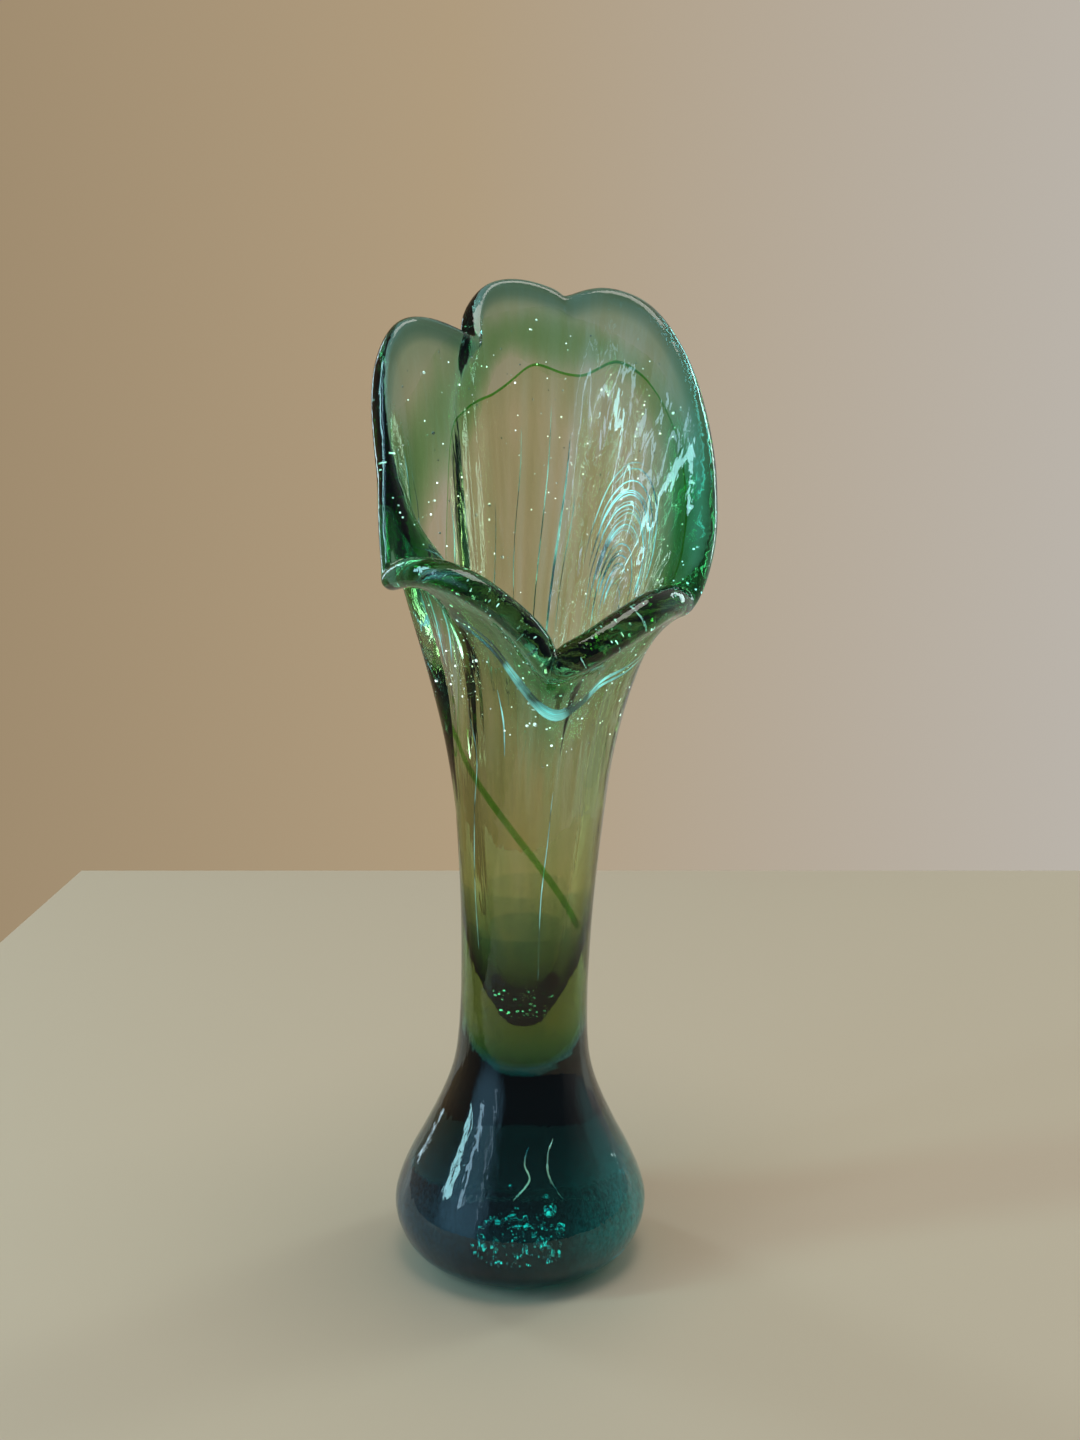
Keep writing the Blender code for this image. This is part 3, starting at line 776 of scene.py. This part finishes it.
# Painted light: on the far right and below the tops of the petals the clear glass is tinted emerald, in
# place of the emerald light that the right edge bends towards the camera.
far_right = mapped(tree, place["X"], 0.036, 0.052, interpolation_type="SMOOTHSTEP")
under_top = mapped(tree, place["Z"], 0.285, 0.235)
painted_emerald_light = add(tree, "ShaderNodeMath", {0: far_right, 1: under_top}, operation="MULTIPLY").outputs[0]
rims = mixed(tree, painted_emerald_light, rims, (0.10, 0.64, 0.53, 1))
veins = streaked(tree, shader, 190.0, 0.10, (0.95, 0.965, 0.94), WHITE,
                 mixed(tree, 1.0, painted_foot_light, rims, "MULTIPLY"))
marks = add(tree, "ShaderNodeGroup", node_tree=HANDLING).outputs["Mask"]
ground = add(tree, "ShaderNodeMapRange", {"Value": place["Z"], "From Min": 0.0002, "From Max": 0.0005,
                                          "To Min": 0.22, "To Max": 0.0}).outputs["Result"]
smudges = add(tree, "ShaderNodeMath", {0: marks, 1: 0.05, 2: ground}, operation="MULTIPLY_ADD")
tree.links.new(smudges.outputs[0], shader.inputs["Roughness"])
ripple = add(tree, "ShaderNodeBump", {"Strength": 0.22, "Distance": 0.0012, "Height": veins["Height"]})
tree.links.new(ripple.outputs["Normal"], shader.inputs["Normal"])
wear(glass_body, clear)

# %% Coloured glasses
olive, tree, shader = glass("olive gather glass", (18, 27, 80), ior=1.0)
# Painted amber: the gather is tinted amber below about 160 mm, deepest at its bottom, as a painted view of
# an orange table through the stem.
painted_table_amber = ramp(tree, mapped(tree, split_place(tree)["Z"], 0.06, 0.16),
             [(0.0, (0.97, 0.80, 0.42)), (0.35, (0.99, 0.90, 0.68)), (1.0, WHITE)])
streaked(tree, shader, 130.0, 0.10, (0.93, 0.96, 0.88), (1.0, 1.0, 0.98), painted_table_amber)
wear(olive_gather, olive)

moss, tree, shader = glass("moss green glass", (70, 62, 170), ior=1.0)
streaked(tree, shader, 210.0, 0.08, (0.90, 0.935, 0.84), WHITE)
wear(green_layer, moss)

edge, tree, shader = glass("green edge glass", (1500, 420, 1900), ior=1.0)
streaked(tree, shader, 90.0, 0.5, (0.60, 0.84, 0.52), (0.88, 0.95, 0.84))
wear(green_edge, edge)

haze, tree, shader = glass("moss haze glass", (300, 115, 270), ior=1.0)
streaked(tree, shader, 240.0, 0.10, (0.86, 0.95, 0.82), WHITE)
wear(moss_haze, haze)

teal, tree, shader = glass("teal core glass", (125, 39, 38), ior=1.0)
streaked(tree, shader, 60.0, 0.45, (0.66, 0.84, 0.92), WHITE)
place = split_place(tree)
# Painted light in the core: its emission is a blue sheen on the left side and teal light on the right side,
# strongest low in the foot, gone by 45 mm and broken into patches.
painted_core_light = ramp(tree, mapped(tree, place["X"], -0.036, 0.036),
             [(0.0, (0.018, 0.055, 0.085)), (0.35, (0.004, 0.012, 0.018)),
              (0.68, (0.003, 0.024, 0.023)), (0.88, (0.004, 0.11, 0.10)), (1.0, (0.004, 0.19, 0.165))])
level = ramp(tree, mapped(tree, place["Z"], 0.003, 0.045), [(0.0, 0.45), (0.3, 1.0), (0.7, 0.5), (1.0, 0.0)])
clouds = add(tree, "ShaderNodeTexNoise", {"Scale": 70.0, "Detail": 3.0, "Distortion": 1.2})
patchy = ramp(tree, clouds.outputs["Fac"], [(0.35, 0.35), (0.65, 1.0)])
for layer in (level, patchy):
    painted_core_light = mixed(tree, 1.0, painted_core_light, layer, "MULTIPLY")
tree.links.new(painted_core_light, shader.inputs["Emission Color"])
shader.inputs["Emission Strength"].default_value = 1.0
wear(teal_core, teal)

# Painted shade: the cup's glass takes away nearly all light.
shade_cup_glass, tree, shader = glass("dark cup glass", (1650, 1250, 1500), ior=1.0)
streaked(tree, shader, 110.0, 0.2, (0.80, 0.90, 0.90), WHITE)
wear(painted_shade_cup, shade_cup_glass)

cane, tree, shader = glass("green cane glass", (520, 170, 850), ior=1.0)
streaked(tree, shader, 260.0, 0.6, (0.74, 0.90, 0.66), WHITE)
wear(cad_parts["green_cane"], cane)


def silver(name, size, glow, strength, first=0.62, skin=((0.82, 0.93, 0.92), WHITE)):
    """A bubble's silvery inside: a mirror, with painted glints, emission where fine noise is high."""
    material, tree, shader = glass(name, roughness=0.08, transmission=0.0)
    shader.inputs["Metallic"].default_value = 1.0
    glints = streaked(tree, shader, size, 1.0, *skin)
    tree.links.new(ramp(tree, glints["Mask"], [(first, 0.0), (1.0, glow)]),
                   shader.inputs["Emission Color"])
    shader.inputs["Emission Strength"].default_value = strength
    return material


air = silver("trapped air", 420.0, (0.80, 1.0, 0.94), 3.2, 0.25)
# The threads' glass glows faintly along their whole length: a painted highlight.
thread_glass_painted_glow = silver("drawn air", 60.0, (0.34, 0.92, 0.92), 0.9, 0.2,
                   ((0.22, 0.52, 0.55), (0.60, 0.92, 0.97)))
deep_air = silver("air in the teal core", 1100.0, (0.12, 0.95, 0.72), 2.6, 0.55)
wear(seed_bubbles, air)
wear(air_threads, thread_glass_painted_glow)
wear(foot_threads, silver("air drawn in the foot", 60.0, (1.0, 0.78, 0.50), 1.3, 0.2))
for piece in [foot_bubbles, tip_bubbles]:
    wear(piece, deep_air)

# %% [markdown]
# ## The studio
# A plain pale table top, a warm backdrop that is paler to the right, and tall soft boxes. Glass
# shows mostly what stands round it, so the backdrop goes darker behind the camera: that is what
# draws dark edges on the petals. Two soft glows and the soft boxes light the glass, and the camera
# doesn't see them directly.

# %% Table top
TABLE = ((-0.272, -0.52), (0.46, 0.453))
TABLE_THICKNESS = 0.02
TABLE_GAP = 0.0003         # between the table's top and the foot
bpy.ops.mesh.primitive_cube_add(size=1.0)
table = bpy.context.active_object
table.name = "table_top"
(low_x, low_y), (high_x, high_y) = TABLE
for vertex in table.data.vertices:
    vertex.co = (low_x if vertex.co.x < 0 else high_x, low_y if vertex.co.y < 0 else high_y,
                 floor_level - TABLE_GAP - (TABLE_THICKNESS if vertex.co.z < 0 else 0.0))
paint = bpy.data.materials.new("table paint")
paint.use_nodes = True
surface = paint.node_tree.nodes["Principled BSDF"].inputs
surface["Base Color"].default_value = (0.64, 0.50, 0.37, 1)
surface["Roughness"].default_value = 0.55
table.data.materials.append(paint)

# %% Backdrop
world = bpy.data.worlds.new("studio")
bpy.context.scene.world = world
world.use_nodes = True
tree = world.node_tree
direction = add(tree, "ShaderNodeTexCoord").outputs["Generated"]
toward = add(tree, "ShaderNodeSeparateXYZ", {0: direction}).outputs
wall_paint = ramp(tree, mapped(tree, toward["X"], -0.5, 0.5),
                  [(0.0, (0.30, 0.22, 0.13)), (0.45, (0.43, 0.33, 0.21)), (1.0, (0.52, 0.51, 0.49))])
BEHIND_CAMERA = (0.085, 0.11, 0.13, 1)
backdrop = mixed(tree, mapped(tree, toward["Y"], -0.5, 0.6), BEHIND_CAMERA, wall_paint)
GLOWS = [((-0.80, -0.55, 0.25), 0.55, (0.50, 1.05, 1.50, 1)),
         ((0.93, 0.28, 0.22), 0.40, (0.35, 0.62, 0.62, 1))]   # (way, spread, colour)
room = backdrop
for way, spread, glow in GLOWS:
    near = add(tree, "ShaderNodeVectorMath", {0: direction, 1: unit(np.array(way))},
               operation="DOT_PRODUCT").outputs["Value"]
    patch = mapped(tree, near, math.cos(spread), 1.0, interpolation_type="SMOOTHSTEP")
    room = mixed(tree, patch, room, glow)
seen = add(tree, "ShaderNodeLightPath").outputs["Is Camera Ray"]
tree.links.new(mixed(tree, seen, room, backdrop), tree.nodes["Background"].inputs["Color"])



# %% Soft boxes
def softbox(name, place, size, power, colour, aim=(0, 0, 0.15)):
    """A soft rectangular lamp that faces the vase."""
    lamp = bpy.data.lights.new(name, "AREA")
    lamp.shape = "RECTANGLE"
    lamp.size, lamp.size_y = size
    lamp.energy = power
    lamp.color = colour
    holder = bpy.data.objects.new(name, lamp)
    holder.location = place
    holder.rotation_euler = (Vector(aim) - Vector(place)).to_track_quat("-Z", "Y").to_euler()
    holder.visible_camera = False
    bpy.context.scene.collection.objects.link(holder)


softbox("window", (-1.15, -0.32, 0.72), (0.16, 0.85), 5.5, (0.45, 0.93, 1.0))
softbox("window_pane", (-1.02, -0.62, 0.72), (0.08, 0.85), 1.4, (0.50, 0.80, 1.0))
softbox("narrow_window", (-0.80, -0.98, 0.60), (0.03, 0.9), 0.30, (0.55, 0.80, 1.0))
softbox("back_window", (-0.95, 0.80, 0.50), (0.20, 1.0), 4, (0.62, 0.88, 1.0))
softbox("right_window", (1.02, 0.66, 0.55), (0.20, 0.9), 4, (0.72, 1.0, 0.98))
softbox("overhead", (0.1, -0.1, 1.3), (0.7, 0.5), 5, (1.0, 0.96, 0.90))

# %% Camera
lens = bpy.data.cameras.new("camera")
lens.sensor_width = 36.0
lens.lens = 38.5
camera = bpy.data.objects.new("camera", lens)
camera.location = (0.0062, -0.454, 0.2425)
camera.rotation_euler = (math.radians(90 - 9.4), 0, 0)
bpy.context.scene.collection.objects.link(camera)
bpy.context.scene.camera = camera
BOUNCES = 26               # nested glass needs many
bpy.context.scene.cycles.max_bounces = BOUNCES
bpy.context.scene.cycles.transmission_bounces = BOUNCES
bpy.context.scene.view_settings.view_transform = "Standard"
